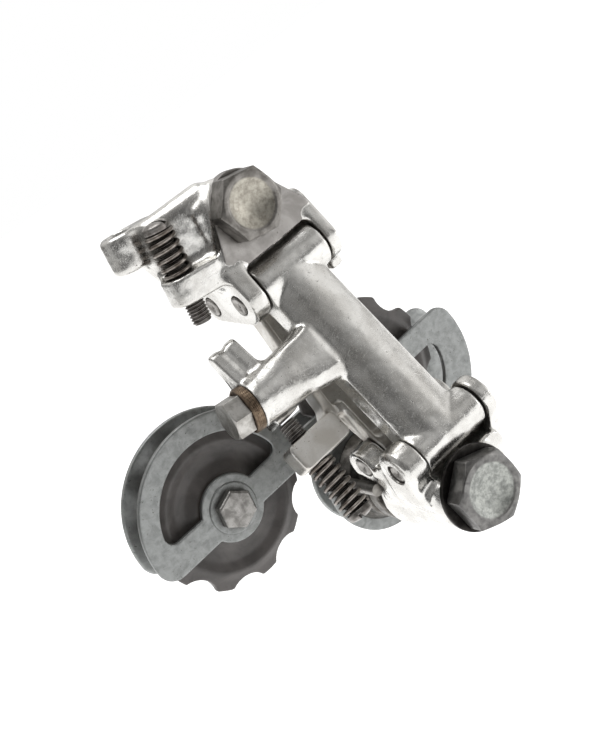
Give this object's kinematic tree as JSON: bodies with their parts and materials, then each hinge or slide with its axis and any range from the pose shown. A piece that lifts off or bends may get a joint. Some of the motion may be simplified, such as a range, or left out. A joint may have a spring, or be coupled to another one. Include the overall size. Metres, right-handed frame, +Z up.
{
  "type": "rear bicycle derailleur",
  "caption": "Rear bicycle derailleur: a slanting parallelogram hung from one hexagon bolt, with limit screws, a cable anchor and a sprung cage of two toothed pulleys.",
  "frame": {"origin": "on the axis of the hanger bolt, at the face of the upper body that meets the bicycle's hanger", "axes": "+X forward along the bicycle, +Z up, +Y inboard towards the wheel (-Y outboard, towards a person standing beside the bicycle)"},
  "size_m": [0.1064, 0.0581, 0.1074],
  "materials": {
    "body_alloy": "polished cast alloy with fine scratches and pits",
    "link_alloy": "polished cast alloy with fine scratches and pits",
    "knuckle_alloy": "polished cast alloy, satin in the hollows",
    "bolt_steel": "worn plated steel with a mottled dish in the head",
    "screw_steel": "plated steel darkened with age",
    "spring_steel": "dark oily spring wire",
    "pin_steel": "bare steel, peened ends",
    "inner_link_steel": "pressed steel, satin, slightly brown",
    "washer_steel": "brownish ridged steel",
    "pivot_washer_steel": "dark oily steel",
    "hub_steel": "turned steel, darkened",
    "cage_steel": "zinc-grey pressed steel, mottled",
    "bushing_bronze": "sintered bronze",
    "pulley_plastic": "dark grey-brown satin plastic"
  },
  "bodies": {
    "mount_bolt": {"hanger_bolt": "bolt_steel", "hanger_clip": "spring_steel"},
    "upper": {"upper_body": "body_alloy", "upper_outer_pin": "pin_steel", "upper_inner_pin": "pin_steel", "limit_spring_low": "spring_steel", "return_spring": "spring_steel"},
    "low_screw": {"limit_screw_low": "screw_steel"},
    "outer": {"outer_link": "link_alloy", "anchor_bolt": "bolt_steel", "anchor_washer": "washer_steel"},
    "inner": {"inner_link": "inner_link_steel", "limit_spring_high": "spring_steel"},
    "high_screw": {"limit_screw_high": "screw_steel"},
    "knuckle": {"lower_knuckle": "knuckle_alloy", "lower_outer_pin": "pin_steel", "lower_inner_pin": "pin_steel", "tension_spring": "spring_steel"},
    "cage": {"cage_hub": "hub_steel", "cage_pivot_bolt": "bolt_steel", "cage_pivot_washer": "pivot_washer_steel", "cage_near_plate": "cage_steel", "cage_far_plate": "cage_steel", "cage_stop_pin": "pin_steel", "pulley_bolts": "bolt_steel", "pulley_bushings": "bushing_bronze", "pulley_washers": "cage_steel"},
    "guide": {"guide_pulley": "pulley_plastic"},
    "tension": {"tension_pulley": "pulley_plastic"}
  },
  "joints": [
    {"name": "body_swing", "type": "hinge", "parent": "mount_bolt", "child": "upper", "pos_m": [0, 0, 0], "axis": [0, 1, 0], "range_deg": [0, 40]},
    {"name": "outer_swing", "type": "hinge", "parent": "upper", "child": "outer", "pos_m": [0, -0.0084, -0.019], "axis": [1, 0, 0], "range_deg": [0, 40], "stiffness_Nm_per_rad": 0.35, "springref_deg": -51.57, "deforming": ["return_spring"]},
    {"name": "inner_swing", "type": "hinge", "parent": "upper", "child": "inner", "pos_m": [0, 0.0056, -0.019], "axis": [1, 0, 0], "range_deg": [0, 40]},
    {"name": "knuckle_swing", "type": "hinge", "parent": "outer", "child": "knuckle", "pos_m": [0, -0.0308, -0.06759], "axis": [1, 0, 0], "range_deg": [-40, 0]},
    {"name": "cage_swing", "type": "hinge", "parent": "knuckle", "child": "cage", "pos_m": [-0.0012, -0.0146, -0.081], "axis": [0, -1, 0], "range_deg": [0, 100], "stiffness_Nm_per_rad": 0.12, "springref_deg": -143.24, "deforming": ["tension_spring"]},
    {"name": "low_screw_turn", "type": "hinge", "parent": "upper", "child": "low_screw", "pos_m": [-0.0201, -0.0064, -0.0048], "axis": [0.1392, 0, 0.9903], "range_deg": [-360, 360]},
    {"name": "high_screw_turn", "type": "hinge", "parent": "inner", "child": "high_screw", "pos_m": [-0.0219, -0.01668, -0.0585], "axis": [-0.0698, -0.4176, -0.9059], "range_deg": [-360, 360]},
    {"name": "guide_spin", "type": "hinge", "parent": "cage", "child": "guide", "pos_m": [0.0128, 0.008, -0.0616], "axis": [0, 1, 0], "continuous": true},
    {"name": "tension_spin", "type": "hinge", "parent": "cage", "child": "tension", "pos_m": [-0.0396, 0.008, -0.0603], "axis": [0, 1, 0], "continuous": true}
  ],
  "couplings": [
    {"joint": "inner_swing", "follows": "outer_swing", "ratio": 1},
    {"joint": "knuckle_swing", "follows": "outer_swing", "ratio": -1}
  ]
}
